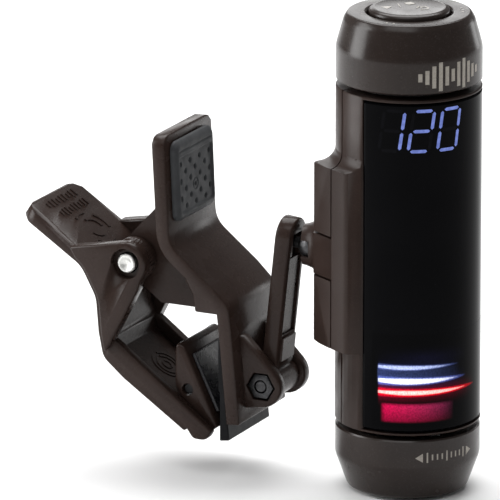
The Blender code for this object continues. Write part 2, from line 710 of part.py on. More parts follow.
def board_parts(head):
    """Circuit board with the digits, the light bars, the sensor and the button's
    switch; the board stands between the battery and the window."""
    board = box("circuit_board", (4.0, -5.2, 10.2), (4.8, 5.2, 54.6), head)
    finish(board, GREEN, 0.5)
    digits = box("digit_display", (5.1, -4.3, 36.4), (6.8, 4.3, 50.6), head)
    finish(soften(digits, 0.2, 1), (0.03, 0.03, 0.035), 0.3)
    guide = box("light_guide", (5.1, -4.8, 11.4), (6.4, 4.8, 23.6), head)
    finish(soften(guide, 0.2, 1), (0.5, 0.5, 0.5), 0.3)
    sensor = turned("vibration_sensor", [(0, 3.55), (3.4, 3.55), (3.4, 3.8), (0, 3.8)], SMALL, head,
                    ((0, 0, 14.6), (1, 0, 0)))
    finish(sensor, (0.45, 0.32, 0.12), 0.35, 1.0)


def battery_parts(head):
    low = 10.7
    can = low + BATTERY_LENGTH - 1.0
    nub = 1.9
    profile = [(0, low), (3.6, low), (3.6, low + 0.2), (BATTERY_RADIUS - 0.3, low + 0.2),
               (BATTERY_RADIUS, low + 0.5), (BATTERY_RADIUS, can - 0.4), (BATTERY_RADIUS - 0.5, can),
               (nub, can), (nub, can + 0.8), (nub - 0.2, can + 1.0), (0, can + 1.0)]
    cell = turned("battery", profile, 32, head, ((BATTERY_BACK, 0, 0), (0, 0, 1)))
    finish(cell, (0.1, 0.1, 0.11), 0.3, 0.6)
    plate = box("battery_contact", (BATTERY_BACK - 2.6, -2.6, can + 1.15),
                (BATTERY_BACK + 2.6, 2.6, can + 1.35), head)
    finish(plate, STEEL, 0.3, 1.0)
    points = []
    turns, steps = 2, 12
    for k in range(turns * steps + 1):
        share = k / (turns * steps)
        a = 2 * math.pi * k / steps
        radius = 3.2 - 1.6 * share
        points.append((BATTERY_BACK + radius * math.cos(a), radius * math.sin(a), 9.75 + 0.62 * share))
    finish(wire("battery_spring", points, 0.16, head), STEEL, 0.3, 1.0)


def hubs(head):
    """Posts at both ends that the dials turn on, and the button's switch."""
    top = turned("top_hub", [(0, 55.95), (8.0, 55.95), (8.0, 56.2), (3.5, 56.2), (3.5, 61.2), (0, 61.2)],
                 40, head)
    finish(top, BLACK, 0.5)
    switch = turned("button_switch", [(0, 61.5), (2.2, 61.5), (2.2, 62.9), (1.1, 62.9), (1.1, 63.4),
                                      (0, 63.4)], SMALL, head)
    finish(switch, DARK_STEEL, 0.35, 0.8)
    low = turned("bottom_hub", [(0, 3.2), (3.5, 3.2), (3.5, 8.9), (8.0, 8.9), (8.0, 9.15), (0, 9.15)],
                 40, head)
    finish(low, BLACK, 0.5)
    for name, base in (("top_return_spring", 56.75), ("bottom_return_spring", 5.6)):
        points = []
        turns, steps = 3, 14
        for k in range(turns * steps + 1):
            a = 2 * math.pi * k / steps
            points.append((4.3 * math.cos(a), 4.3 * math.sin(a), base + 2.4 * k / (turns * steps)))
        finish(wire(name, points, 0.25, head), STEEL, 0.3, 1.0)


def top_dial(turn):
    """Cap with a sloping shoulder and a round recess for the button."""
    outer = [(BODY_RADIUS - 0.2, CAP_LOW), (BODY_RADIUS, CAP_LOW + 0.2), (BODY_RADIUS, 60.9),
             (9.7, 61.3), (8.75, 64.9), (8.4, 65.35), (8.0, CAP_HIGH)]
    recess = [(5.95, CAP_HIGH), (5.75, CAP_HIGH - 0.2), (5.75, 64.2), (4.3, 64.2)]
    under = [(4.3, 62.0), (8.2, 61.0), (8.2, CAP_LOW)]
    cap = turned("top_dial", outer + recess + under, ROUND, turn)
    return finish(cap, BROWN)


def power_button(slide):
    lift = 64.2 + BUTTON_TRAVEL + 0.15
    profile = [(0, 63.7 + BUTTON_TRAVEL / 2), (3.9, 63.7 + BUTTON_TRAVEL / 2), (3.9, lift),
               (BUTTON_RADIUS, lift), (BUTTON_RADIUS, BUTTON_TOP - 0.35),
               (BUTTON_RADIUS - 0.35, BUTTON_TOP), (3.6, BUTTON_TOP - 0.02), (0, BUTTON_TOP - 0.15)]
    button = turned("power_button", profile, 48, slide)
    return finish(button, BROWN, 0.35)


def bottom_dial(turn):
    """Dial like a foot, closed below, hollow above round its post."""
    outer = [(0, 0.0), (7.75, 0.0), (8.1, 0.25), (8.25, 0.6), (9.6, 4.2), (9.75, 4.7), (9.75, 8.5),
             (9.6, DIAL_HIGH)]
    inside = [(8.2, DIAL_HIGH), (8.2, 4.6), (7.0, 1.6), (0, 1.6)]
    dial = turned("bottom_dial", outer + inside, ROUND, turn)
    return finish(dial, BROWN)


# --- putting it together ------------------------------------------------------------------
def build():
    clear_scene()
    root = empty("clip", 0, 0, 0)
    rear_lever(root)
    thumb_pad(root)
    fixed_jaw_pad(root)
    pivot_pin(root)
    torsion_spring(root)
    arm_bolt(root)
    hex_nut(root)

    pivot = empty("clip_pivot", *at((0, 0)))
    front_lever(pivot)
    rock = empty("shoe_pivot", *at(SHOE_PIN))
    jaw_shoe(rock)
    shoe_pad(rock)
    shoe_pin(rock)

    arm(empty("arm_hinge", *at(BOLT)))
    ball_stud(empty("stud_roll", *at(STUD)))

    ball = at(STUD)
    head = empty("head_axis", ball[0] + HEAD_AXIS[0], HEAD_AXIS[1], ball[2] - BALL_HEIGHT, HEAD_TURN)
    front_housing(head)
    battery_cover(head)
    display_window(head)
    board_parts(head)
    battery_parts(head)
    hubs(head)
    top_dial(head)
    power_button(head)
    bottom_dial(head)


build()
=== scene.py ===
"""Looks of the clip-on tuner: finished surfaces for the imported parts, the lit
numerals and bars in the window, printed marks, moulded relief, a pale floor,
soft studio light and the camera."""
import json
import math
from collections import namedtuple

import bmesh
import bpy
from mathutils import Matrix, Vector

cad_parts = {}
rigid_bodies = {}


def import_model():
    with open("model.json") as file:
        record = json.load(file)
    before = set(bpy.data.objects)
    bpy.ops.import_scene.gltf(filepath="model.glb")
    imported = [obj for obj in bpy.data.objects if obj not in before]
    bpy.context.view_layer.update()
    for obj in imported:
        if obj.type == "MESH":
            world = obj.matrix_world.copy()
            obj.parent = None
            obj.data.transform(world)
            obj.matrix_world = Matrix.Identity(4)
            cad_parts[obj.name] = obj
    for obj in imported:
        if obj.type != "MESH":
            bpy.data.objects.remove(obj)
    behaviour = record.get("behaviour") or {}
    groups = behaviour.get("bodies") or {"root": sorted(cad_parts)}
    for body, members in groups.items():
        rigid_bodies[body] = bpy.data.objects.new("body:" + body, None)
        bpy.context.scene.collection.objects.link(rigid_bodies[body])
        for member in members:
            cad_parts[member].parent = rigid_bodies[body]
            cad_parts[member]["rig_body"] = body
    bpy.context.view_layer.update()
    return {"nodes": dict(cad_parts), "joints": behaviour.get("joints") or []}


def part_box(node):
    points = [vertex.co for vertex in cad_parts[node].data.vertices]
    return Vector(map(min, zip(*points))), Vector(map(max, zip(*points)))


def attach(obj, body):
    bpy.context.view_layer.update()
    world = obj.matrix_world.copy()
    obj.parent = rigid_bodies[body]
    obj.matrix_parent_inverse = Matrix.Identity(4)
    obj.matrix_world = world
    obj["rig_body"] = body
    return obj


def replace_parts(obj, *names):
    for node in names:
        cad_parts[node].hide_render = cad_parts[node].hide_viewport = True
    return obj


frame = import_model()
MM = 0.001
JOINTS = {joint["name"]: joint for joint in frame["joints"]}

# --- the head's own frame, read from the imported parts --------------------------
HEAD_AXIS = Vector(JOINTS["top_dial_turn"]["pos_m"]).xy
BALL = Vector(JOINTS["head_swing"]["pos_m"])
PIVOT = Vector(JOINTS["clip_pivot"]["pos_m"])
BASE_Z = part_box("bottom_dial")[0].z


def display_bearing():
    """The direction that the window faces, in radians from +X."""
    total = Vector((0.0, 0.0))
    for vert in frame["nodes"]["display_window"].data.vertices:
        total += vert.co.xy - HEAD_AXIS
    return math.atan2(total.y, total.x)


FACING = display_bearing()
BODY_RADIUS = 9.8
MARK_LIFT = 0.03                 # printed marks stand this far off the plastic
MARK_ROOT = 0.1                  # and start this far inside it
WINDOW_SHINE = 0.03
WINDOW_TONES = ((0.0012, 0.0012, 0.0016), (0.002, 0.002, 0.0026))


def on_head(degrees, radius, height):
    """A point on the head: angle from the display's direction, radius, height."""
    a = FACING + math.radians(degrees)
    return Vector((HEAD_AXIS.x + radius * MM * math.cos(a),
                   HEAD_AXIS.y + radius * MM * math.sin(a), BASE_Z + height * MM))


def along_clip(x, y, z):
    """A point in millimetres from the pivot pin's axis."""
    return PIVOT + Vector((x, y, z)) * MM


# --- node helpers -----------------------------------------------------------------
class Nodes:
    """A material's node tree, with short calls for the nodes that repeat."""

    def __init__(self, name):
        self.material = bpy.data.materials.new(name)
        self.material.use_nodes = True
        self.tree = self.material.node_tree
        self.shader = self.tree.nodes["Principled BSDF"]
        self.place = self.tree.nodes.new("ShaderNodeTexCoord").outputs["Object"]

    def link(self, output, target):
        self.tree.links.new(output, target)

    def set(self, **values):
        for key, value in values.items():
            self.shader.inputs[key.replace("_", " ")].default_value = value
        return self

    def noise(self, size, detail=2.0, roughness=0.5):
        """Noise whose features are about this many millimetres across."""
        node = self.tree.nodes.new("ShaderNodeTexNoise")
        node.inputs["Scale"].default_value = 1 / (size * MM)
        node.inputs["Detail"].default_value = detail
        node.inputs["Roughness"].default_value = roughness
        self.link(self.place, node.inputs["Vector"])
        return node.outputs["Fac"]

    def cells(self, size):
        node = self.tree.nodes.new("ShaderNodeTexVoronoi")
        node.inputs["Scale"].default_value = 1 / (size * MM)
        self.link(self.place, node.inputs["Vector"])
        return node

    def ramp(self, value, stops):
        node = self.tree.nodes.new("ShaderNodeValToRGB")
        ramp = node.color_ramp
        while len(ramp.elements) < len(stops):
            ramp.elements.new(0.5)
        for element, (position, colour) in zip(ramp.elements, stops):
            element.position = position
            element.color = (*colour, 1)
        self.link(value, node.inputs["Fac"])
        return node.outputs["Color"]

    def span(self, value, low, high, start, end):
        node = self.tree.nodes.new("ShaderNodeMapRange")
        for key, number in (("From Min", low), ("From Max", high), ("To Min", start), ("To Max", end)):
            node.inputs[key].default_value = number
        self.link(value, node.inputs["Value"])
        return node.outputs["Result"]

    def mix(self, share, first, second):
        node = self.tree.nodes.new("ShaderNodeMix")
        node.data_type = "RGBA"
        self.link(share, node.inputs["Factor"])
        self.link(first, node.inputs[6])
        self.link(second, node.inputs[7])
        return node.outputs[2]

    def bump(self, height, distance, strength=1.0, below=None):
        node = self.tree.nodes.new("ShaderNodeBump")
        node.inputs["Distance"].default_value = distance * MM
        node.inputs["Strength"].default_value = strength
        self.link(height, node.inputs["Height"])
        if below is not None:
            self.link(below, node.inputs["Normal"])
        return node.outputs["Normal"]


def fleck_plastic(name, dark, light, fleck, rough, grain, fleck_share, shine=0.15):
    """Moulded plastic with a fine metal fleck and a faint grain (sizes in millimetres)."""
    n = Nodes(name)
    cloud = n.ramp(n.noise(9.0, 3.0), [(0.35, dark), (0.65, light)])
    specks = n.cells(grain * 1.5)
    spark = n.span(specks.outputs["Color"], 0.7, 1.0, 0.0, fleck_share)
    bright = n.ramp(specks.outputs["Color"], [(0.0, fleck), (1.0, fleck)])
    n.link(n.mix(spark, cloud, bright), n.shader.inputs["Base Color"])
    n.link(n.span(n.noise(2.5, 3.0), 0.3, 0.7, *rough), n.shader.inputs["Roughness"])
    fine = n.bump(n.noise(grain, 1.0), 0.006, 0.5)
    n.link(n.bump(n.noise(1.6, 2.0), 0.01, 0.25, fine), n.shader.inputs["Normal"])
    n.set(Specular_IOR_Level=shine)
    return n.material


def rubber(name, dark, light, rough=(0.55, 0.75), shine=0.35):
    """Dull rubber or plastic, mottled and finely grained."""
    n = Nodes(name)
    n.link(n.ramp(n.noise(3.0, 4.0), [(0.3, dark), (0.7, light)]), n.shader.inputs["Base Color"])
    n.link(n.span(n.noise(1.2, 2.0), 0.3, 0.7, *rough), n.shader.inputs["Roughness"])
    n.link(n.bump(n.noise(0.09, 2.0), 0.012, 0.7), n.shader.inputs["Normal"])
    n.set(Specular_IOR_Level=shine)
    return n.material


def metal(name, dark, light, rough, brushing=0.12):
    """Drawn or turned metal: streaks in the colour and the gloss."""
    n = Nodes(name)
    n.link(n.ramp(n.noise(brushing, 4.0), [(0.3, dark), (0.7, light)]), n.shader.inputs["Base Color"])
    n.link(n.span(n.noise(brushing * 2, 2.0), 0.3, 0.7, *rough), n.shader.inputs["Roughness"])
    n.link(n.bump(n.noise(brushing, 2.0), 0.004, 0.4), n.shader.inputs["Normal"])
    n.set(Metallic=1.0)
    return n.material


def window_gloss(name, paler=1.0):
    """Black acrylic: deep gloss with a barely uneven surface and faint dust."""
    n = Nodes(name)
    dust = n.cells(1.1)
    speck = n.span(dust.outputs["Distance"], 0.0, 0.035, 1.0, 0.0)
    darkest, lightest = (tuple(c * paler for c in tone) for tone in WINDOW_TONES)
    black = n.ramp(n.noise(12.0), [(0.3, darkest), (0.7, lightest)])
    grey = n.ramp(speck, [(0.0, (0.03, 0.03, 0.035)), (1.0, (0.05, 0.05, 0.055))])
    n.link(n.mix(speck, black, grey), n.shader.inputs["Base Color"])
    n.link(n.span(n.noise(6.0, 3.0), 0.3, 0.7, 0.035, 0.07), n.shader.inputs["Roughness"])
    n.link(n.bump(n.noise(8.0, 1.0), 0.004, 0.15), n.shader.inputs["Normal"])
    n.set(Specular_IOR_Level=WINDOW_SHINE)
    return n.material


def ink(name, colour):
    """Printed paint, slightly uneven in tone and gloss."""
    n = Nodes(name)
    darker = tuple(c * 0.82 for c in colour)
    n.link(n.ramp(n.noise(0.25, 3.0), [(0.35, darker), (0.6, colour)]), n.shader.inputs["Base Color"])
    n.link(n.span(n.noise(0.4), 0.3, 0.7, 0.42, 0.58), n.shader.inputs["Roughness"])
    return n.material


def light(name, colour, strength):
    """A lit piece of the display, a little uneven."""
    n = Nodes(name)
    n.set(Roughness=0.3, Emission_Strength=strength)
    n.shader.inputs["Base Color"].default_value = (0.01, 0.01, 0.012, 1)
    paler = tuple(min(1.0, c * 1.35 + 0.06) for c in colour)
    n.link(n.ramp(n.noise(0.6, 2.0), [(0.35, colour), (0.65, paler)]), n.shader.inputs["Emission Color"])
    return n.material


BROWN = fleck_plastic("brown_plastic", (0.0235, 0.0148, 0.0122), (0.030, 0.0192, 0.016),
                      (0.09, 0.07, 0.06), (0.28, 0.38), 0.08, 0.16)
CAP_BROWN = fleck_plastic("brown_fleck", (0.0165, 0.0112, 0.0093), (0.0225, 0.0155, 0.013),
                          (0.12, 0.1, 0.095), (0.2, 0.28), 0.09, 0.14, shine=0.26)
LEVER_BROWN = fleck_plastic("lever_plastic", (0.0215, 0.013, 0.0106), (0.028, 0.0175, 0.0143),
                            (0.09, 0.07, 0.06), (0.22, 0.32), 0.08, 0.16)
PAD_RUBBER = rubber("thumb_rubber", (0.026, 0.0275, 0.03), (0.037, 0.039, 0.042))
JAW_RUBBER = rubber("jaw_rubber", (0.0035, 0.0035, 0.004), (0.006, 0.006, 0.007), (0.3, 0.45), shine=0.1)
SHOE_RUBBER = rubber("shoe_rubber", (0.009, 0.009, 0.011), (0.015, 0.015, 0.018), (0.22, 0.34))
BRIGHT = metal("bright_pin", (0.62, 0.62, 0.6), (0.82, 0.82, 0.79), (0.42, 0.55), 0.3)
GUNMETAL = metal("dark_metal", (0.035, 0.035, 0.037), (0.09, 0.09, 0.092), (0.32, 0.5), 0.2)
SPRING = metal("spring_wire", (0.42, 0.42, 0.42), (0.66, 0.66, 0.64), (0.22, 0.35), 0.08)
# Near-black plastic for the inner parts. On the shoe's pin it is painted shade.
INNER_AND_PIN_SHADE = rubber("inner_plastic", (0.006, 0.006, 0.007), (0.011, 0.011, 0.012), (0.4, 0.6))
WINDOW = window_gloss("window_black")
PRINT = ink("printed_mark", (0.33, 0.30, 0.26))
BUTTON_PRINT = ink("button_mark", (0.42, 0.40, 0.37))


# --- meshes ---------------------------------------------------------------------------
def place(name, work, material, body, smooth=30):
    """An object from a bmesh that rides on a body."""
    mesh = bpy.data.meshes.new(name)
    bmesh.ops.recalc_face_normals(work, faces=work.faces)
    work.to_mesh(mesh)
    work.free()
    mesh.shade_smooth()
    mesh.set_sharp_from_angle(angle=math.radians(smooth))
    mesh.materials.append(material)
    piece = bpy.data.objects.new(name, mesh)
    bpy.context.scene.collection.objects.link(piece)
    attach(piece, body)
    return piece


def refine(node, material, bevel=0.0, smooth=35):
    """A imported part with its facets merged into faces, smoothly shaded, its edges
    rounded by a bevel if one is given."""
    source = frame["nodes"][node]
    work = bmesh.new()
    work.from_mesh(source.data)
    bmesh.ops.remove_doubles(work, verts=work.verts, dist=0.002 * MM)
    bmesh.ops.dissolve_limit(work, angle_limit=math.radians(0.6), verts=work.verts, edges=work.edges)
    piece = place("fine_" + node, work, material, source["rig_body"], smooth)
    if bevel:
        modifier = piece.modifiers.new("edges", "BEVEL")
        modifier.width = bevel * MM
        modifier.segments = 2
        modifier.limit_method = "ANGLE"
        modifier.angle_limit = math.radians(35)
    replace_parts(piece, node)


TURN_SIDES = 192


def turned(name, profile, material, body):
    """A closed profile of (radius, height) turned about the head's axis."""
    sides = TURN_SIDES
    work = bmesh.new()
    rings = []
    for radius, height in profile:
        if radius < 1e-6:
            rings.append([work.verts.new(on_head(0, 0, height))])
        else:
            rings.append([work.verts.new(on_head(360 * k / sides, radius, height)) for k in range(sides)])
    for j, ring in enumerate(rings):
        other = rings[(j + 1) % len(rings)]
        if len(ring) == 1 and len(other) == 1:
            continue
        for k in range(sides):
            n = (k + 1) % sides
            corners = []
            for vert in (ring[k % len(ring)], ring[n % len(ring)], other[n % len(other)],
                         other[k % len(other)]):
                if vert not in corners:
                    corners.append(vert)
            work.faces.new(corners)
    return place(name, work, material, body)


def soft_corner(points, radius, steps=5):
    """A closed profile with each marked corner (r, z, radius factor) made an arc."""
    result = []
    count = len(points)
    for k, point in enumerate(points):
        factor = point[2] if len(point) > 2 else 0
        corner = Vector(point[:2])
        if not factor:
            result.append(tuple(corner))
            continue
        before = Vector(points[k - 1][:2])
        after = Vector(points[(k + 1) % count][:2])
        start = corner + (before - corner).normalized() * radius * factor
        end = corner + (after - corner).normalized() * radius * factor
        for j in range(steps + 1):
            t = j / steps
            result.append(tuple(start * (1 - t) ** 2 + corner * 2 * t * (1 - t) + end * t ** 2))
    return result


def wrapped(work, columns, radius, thickness, centre, height, slant=0.0):
    """A shape on the head's side, given as columns (across, low, high) in
    millimetres from a centre angle and a height; it leans by the slant."""
    rings = []
    for across, low, high in columns:
        ring = []
        for up, out in ((low, thickness), (high, thickness), (high, -MARK_ROOT), (low, -MARK_ROOT)):
            degrees = centre + math.degrees((across + up * slant) / radius)
            ring.append(work.verts.new(on_head(degrees, radius + out, height + up)))
        rings.append(ring)
    for ring, other in zip(rings, rings[1:]):
        for k in range(4):
            n = (k + 1) % 4
            work.faces.new((ring[k], ring[n], other[n], other[k]))
    work.faces.new(rings[0])
    work.faces.new(list(reversed(rings[-1])))


def block(left, right, low, high, step=0.4):
    """Columns of a plain rectangle."""
    count = max(1, math.ceil((right - left) / step))
    return [(left + (right - left) * k / count, low, high) for k in range(count + 1)]


# --- the head -------------------------------------------------------------------------
# Heights above the foot of the lower dial, in millimetres.
CAP_FOOT, CAP_EDGE, CAP_TOP = 56.5, 60.85, 65.6
BUTTON_FOOT, BUTTON_TOP, BUTTON_RIM = 64.0, 66.12, 66.27


def top_dial():
    """The turning cap: straight side, cone, rim and the well for the button."""
    outside = [(8.2, CAP_FOOT), (9.62, CAP_FOOT, 1), (BODY_RADIUS, 56.7), (BODY_RADIUS, CAP_EDGE, 2),
               (9.72, 61.35, 1), (8.78, 64.75, 2.2), (8.25, CAP_TOP, 2.0)]
    well = [(5.95, CAP_TOP, 1), (5.75, 65.35), (5.75, 64.2), (4.3, 64.2), (4.3, 62.0), (8.2, 61.0)]
    cap = turned("fine_top_dial", soft_corner(outside + well, 0.13), CAP_BROWN, "upper_dial")
    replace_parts(cap, "top_dial")


def power_button():
    """The round button, its top slightly dished inside a rounded rim."""
    profile = [(0, BUTTON_FOOT), (3.9, BUTTON_FOOT), (3.9, 64.95), (5.4, 64.95), (5.45, 65.05),
               (5.45, 65.85, 2), (4.95, BUTTON_RIM, 3), (4.3, 66.16), (2.0, BUTTON_TOP), (0, BUTTON_TOP)]
    button = turned("fine_power_button", soft_corner(profile, 0.14), CAP_BROWN, "button")
    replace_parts(button, "power_button")


def bottom_dial():
    """The lower turning ring, a cup that tapers to the foot."""
    profile = [(0, 0.0), (7.7, 0.0, 1.5), (8.2, 0.35, 1.5), (9.62, 4.25, 2), (9.75, 4.75, 2), (9.75, 8.5),
               (9.6, 8.7), (8.2, 8.7), (8.2, 4.6), (7.0, 1.6), (0, 1.6)]
    dial = turned("fine_bottom_dial", soft_corner(profile, 0.16), CAP_BROWN, "lower_dial")
    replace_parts(dial, "bottom_dial")


def window():
    """The curved black panel, with its long edges and ends rounded over."""
    half, low, high, inner = 73.3, 9.9, 55.2, 8.5
    edge, columns = 0.25, 96
    work = bmesh.new()
    rings = []
    for k in range(columns + 1):
        degrees = -half + 2 * half * k / columns
        side = min(k, columns - k)
        sink = edge * (1 - min(side, 1))
        outer = BODY_RADIUS - 0.02 - sink * 0.5
        ring = [on_head(degrees, inner, low), on_head(degrees, outer - edge, low),
                on_head(degrees, outer, low + edge), on_head(degrees, outer, high - edge),
                on_head(degrees, outer - edge, high), on_head(degrees, inner, high)]
        rings.append([work.verts.new(p) for p in ring])
    for a, b in zip(rings, rings[1:]):
        for j in range(len(a)):
            n = (j + 1) % len(a)
            work.faces.new((a[j], a[n], b[n], b[j]))
    work.faces.new(rings[0])
    work.faces.new(list(reversed(rings[-1])))
    panel = place("fine_window", work, WINDOW, "head", 40)
    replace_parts(panel, "display_window")


LIT = {"0": "abcdef", "1": "bc", "2": "abged"}       # bars that each numeral lights
CELL_WIDTH, CELL_HEIGHT, BAR, BAR_GAP = 2.8, 5.5, 0.44, 0.17
CELL_PITCH = 4.0
SLANT = math.tan(math.radians(8))
NUMERALS_HEIGHT = 48.85                              # foot of the numerals
LAST_NUMERAL = -3.9                                  # angle of the last one's middle


def bar_columns(key):
    """One bar of a numeral, pointed at both ends, about its cell's middle."""
    half, w, h = BAR / 2, CELL_WIDTH / 2, CELL_HEIGHT
    flat = {"a": h, "g": h / 2, "d": 0.0}
    if key in flat:
        y, end = flat[key], w - BAR_GAP - half * 0.5
        middle = [(x, y - half, y + half) for x, _, _ in block(-end + half, end - half, 0, 0)]
        return [(-end, y - 0.03, y + 0.03)] + middle + [(end, y - 0.03, y + 0.03)]
    x = w if key in "bc" else -w
    low = 0.0 if key in "ce" else h / 2
    low, high = low + BAR_GAP, low + h / 2 - BAR_GAP
    return [(x - half, low + half, high - half), (x, low, high), (x + half, low + half, high - half)]


def numerals(text):
    """Lit numerals in the window, and the unlit bars between them."""
    lit = light("numeral_light", (0.13, 0.2, 0.66), 0.66)
    unlit = window_gloss("unlit_bar", 2.2)
    pitch = math.degrees(CELL_PITCH / BODY_RADIUS)
    meshes = {True: bmesh.new(), False: bmesh.new()}
    for steps, digit in enumerate(reversed(text)):
        for key in "abcdefg":
            shines = key in LIT[digit]
            wrapped(meshes[shines], bar_columns(key), BODY_RADIUS - 0.02, 0.012 if shines else 0.003,
                    LAST_NUMERAL - pitch * steps, NUMERALS_HEIGHT, SLANT)
    place("lit_numerals", meshes[True], lit, "head", 60)
    place("unlit_numerals", meshes[False], unlit, "head", 60)


# The lit bars: height, half thickness of the core, of its halo and of its glow,
# the angle where the bar has faded out (degrees), and the three colours of light.
LightBar = namedtuple("LightBar", "height core halo glow end core_light halo_light glow_light")
LIGHT_START = -59.0
BARS = (
    LightBar(18.95, 0.34, 0.48, 0.55, 9, (0.58, 0.65, 0.92), (0.09, 0.13, 0.38), (0.006, 0.008, 0.045)),
    LightBar(17.05, 0.47, 0.68, 0.85, 17, (1.4, 1.4, 1.4), (0.14, 0.2, 0.7), (0.012, 0.02, 0.1)),
    LightBar(15.45, 0.36, 0.66, 0.95, 29, (1.3, 0.92, 0.82), (1.2, 0.0, 0.012), (0.2, 0.0, 0.018)),
)
BETWEEN_END, BETWEEN_LIGHT = 10, (0.03, 0.045, 0.125)      # glow between the two upper bars
HAZE_HEIGHT, HAZE_LIGHT = 20.1, (0.003, 0.003, 0.013)      # faint glow above them
PANEL_LOW, PANEL_HIGH, PANEL_END = 11.2, 14.0, 4
PANEL_RED, PANEL_PURPLE = (0.95, 0.002, 0.10), (0.05, 0.035, 0.10)


def bar_light(degrees, height):
    """Colour of the light behind the window at an angle and a height."""
    total = Vector((0.0, 0.0, 0.0))
    for bar in BARS:
        along = (degrees - LIGHT_START) / (bar.end - LIGHT_START)
        if not 0 <= along < 1:
            continue
        far = abs(height - bar.height)
        lead_in = min(1.0, along / 0.012)
        core_width = bar.core * max(0.0, 1 - (along / 0.88) ** 3) * min(1.0, 0.6 + 1.6 * along)
        if far < core_width:
            fade = (1 - (far / core_width) ** 4) * max(0.0, 1 - (along / 0.9) ** 4)
            total += Vector(bar.core_light) * fade * lead_in
        halo_width = bar.halo * (1 - 0.85 * along ** 2.5)
        if far < halo_width:
            fade = (1 - (far / halo_width) ** 2.5) * (1 - along ** 4)
            total += Vector(bar.halo_light) * fade * lead_in
        total += Vector(bar.glow_light) * math.exp(-(far / bar.glow) ** 2) * (1 - along) * lead_in
    if LIGHT_START < degrees < BETWEEN_END:
        along = (degrees - LIGHT_START) / (BETWEEN_END - LIGHT_START)
        below, above = BARS[0].height - height, height - BARS[1].height
        between = min(1.0, max(0.0, below / 0.4), max(0.0, above / 0.4))
        total += Vector(BETWEEN_LIGHT) * between * (1 - along ** 1.5)
    haze = math.exp(-(height - HAZE_HEIGHT) ** 2) * max(0.0, 1 - abs(degrees + 22) / 40)
    total += Vector(HAZE_LIGHT) * haze
    return total + panel_light(degrees, height)


def panel_light(degrees, height):
    """The low panel: brightest at its top left, fading to purple at its right."""
    first = LIGHT_START + 2.5
    if not first < degrees < PANEL_END:
        return Vector((0.0, 0.0, 0.0))
    along = (degrees - first) / (PANEL_END - first)
    up = (height - PANEL_LOW) / (PANEL_HIGH - PANEL_LOW)
    if not 0 < up < 1:
        return Vector((0.0, 0.0, 0.0))
    edge = min(1.0, up / 0.12) * min(1.0, (1 - up) / 0.16) * min(1.0, along / 0.06)
    edge *= max(0.0, 1 - along ** 3)
    red = max(0.0, 1 - 0.75 * along) * (0.28 + 0.72 * up)
    return Vector(PANEL_RED) * red * edge + Vector(PANEL_PURPLE) * edge * along * up


def light_bars():
    """The lit part of the window, as a fine sheet that carries its own light."""
    low, high, start, end = 10.6, 23.5, -64.0, 62.0
    columns, rows = 150, 190
    n = Nodes("bar_light")
    n.set(Roughness=0.05, Specular_IOR_Level=WINDOW_SHINE)
    n.shader.inputs["Base Color"].default_value = (*WINDOW_TONES[0], 1)
    colour = n.tree.nodes.new("ShaderNodeVertexColor")
    colour.layer_name = "light"
    grain = n.span(n.noise(0.22, 2.0), 0.35, 0.65, 0.7, 1.15)
    scaled = n.tree.nodes.new("ShaderNodeVectorMath")
    scaled.operation = "SCALE"
    n.link(colour.outputs["Color"], scaled.inputs[0])
    n.link(grain, scaled.inputs["Scale"])
    n.link(scaled.outputs["Vector"], n.shader.inputs["Emission Color"])
    n.set(Emission_Strength=1.0)
    work = bmesh.new()
    layer = work.verts.layers.float_color.new("light")
    grid = []
    for j in range(rows + 1):
        height = low + (high - low) * j / rows
        row = []
        for k in range(columns + 1):
            degrees = start + (end - start) * k / columns
            vert = work.verts.new(on_head(degrees, BODY_RADIUS - 0.012, height))
            vert[layer] = (*bar_light(degrees, height), 1)
            row.append(vert)
        grid.append(row)
    for row, other in zip(grid, grid[1:]):
        for k in range(columns):
            work.faces.new((row[k], row[k + 1], other[k + 1], other[k]))
    place("light_sheet", work, n.material, "head", 60)


CAP_BARS = (1.1, 1.9, 3.0, 3.9, 2.6, 1.7, 3.3, 4.0, 2.9, 1.8, 1.0)
CAP_MARK_CENTRE, CAP_MARK_HEIGHT = 1.5, 58.9


def sound_bars():
    """A generic printed row of level bars on the cap, in the display's direction."""
    work = bmesh.new()
    pitch, width = 0.95, 0.55
    first = -pitch * (len(CAP_BARS) - 1) / 2
    for k, tall in enumerate(CAP_BARS):
        x = first + pitch * k
        wrapped(work, block(x - width / 2, x + width / 2, -tall / 2, tall / 2), BODY_RADIUS, MARK_LIFT,
                CAP_MARK_CENTRE, CAP_MARK_HEIGHT)
    place("cap_print", work, PRINT, "upper_dial", 60)


DIAL_RADIUS = 9.75
DIAL_MARK_CENTRE, DIAL_MARK_HEIGHT, DIAL_MARK_REACH = -2.0, 6.3, 4.5
TICKS, TICK_PITCH = 9, 0.72


def turn_marks():
    """Two arrows with ticks between them, printed on the lower dial."""
    work = bmesh.new()
    spot = (DIAL_RADIUS, MARK_LIFT, DIAL_MARK_CENTRE, DIAL_MARK_HEIGHT)
    for way in (-1, 1):
        tip, foot = way * DIAL_MARK_REACH, way * (DIAL_MARK_REACH - 1.0)
        columns = sorted([(tip, -0.02, 0.02), (foot, -0.62, 0.62)])
        wrapped(work, columns, *spot)
    for k in range(TICKS):
        x = (k - (TICKS - 1) / 2) * TICK_PITCH
        tall = 1.4 if k % 4 == 0 else 0.8
        wrapped(work, block(x - 0.1, x + 0.1, -tall / 2, tall / 2), *spot)
    place("turn_print", work, PRINT, "lower_dial", 60)


def ring_outline(inner, outer, start, end, steps=20):
    """Outline of a part of a flat ring, between two angles."""
    points = []
    for radius, a, b in ((outer, start, end), (inner, end, start)):
        for k in range(steps + 1):
            t = math.radians(a + (b - a) * k / steps)
            points.append((radius * math.cos(t), radius * math.sin(t)))
    return points


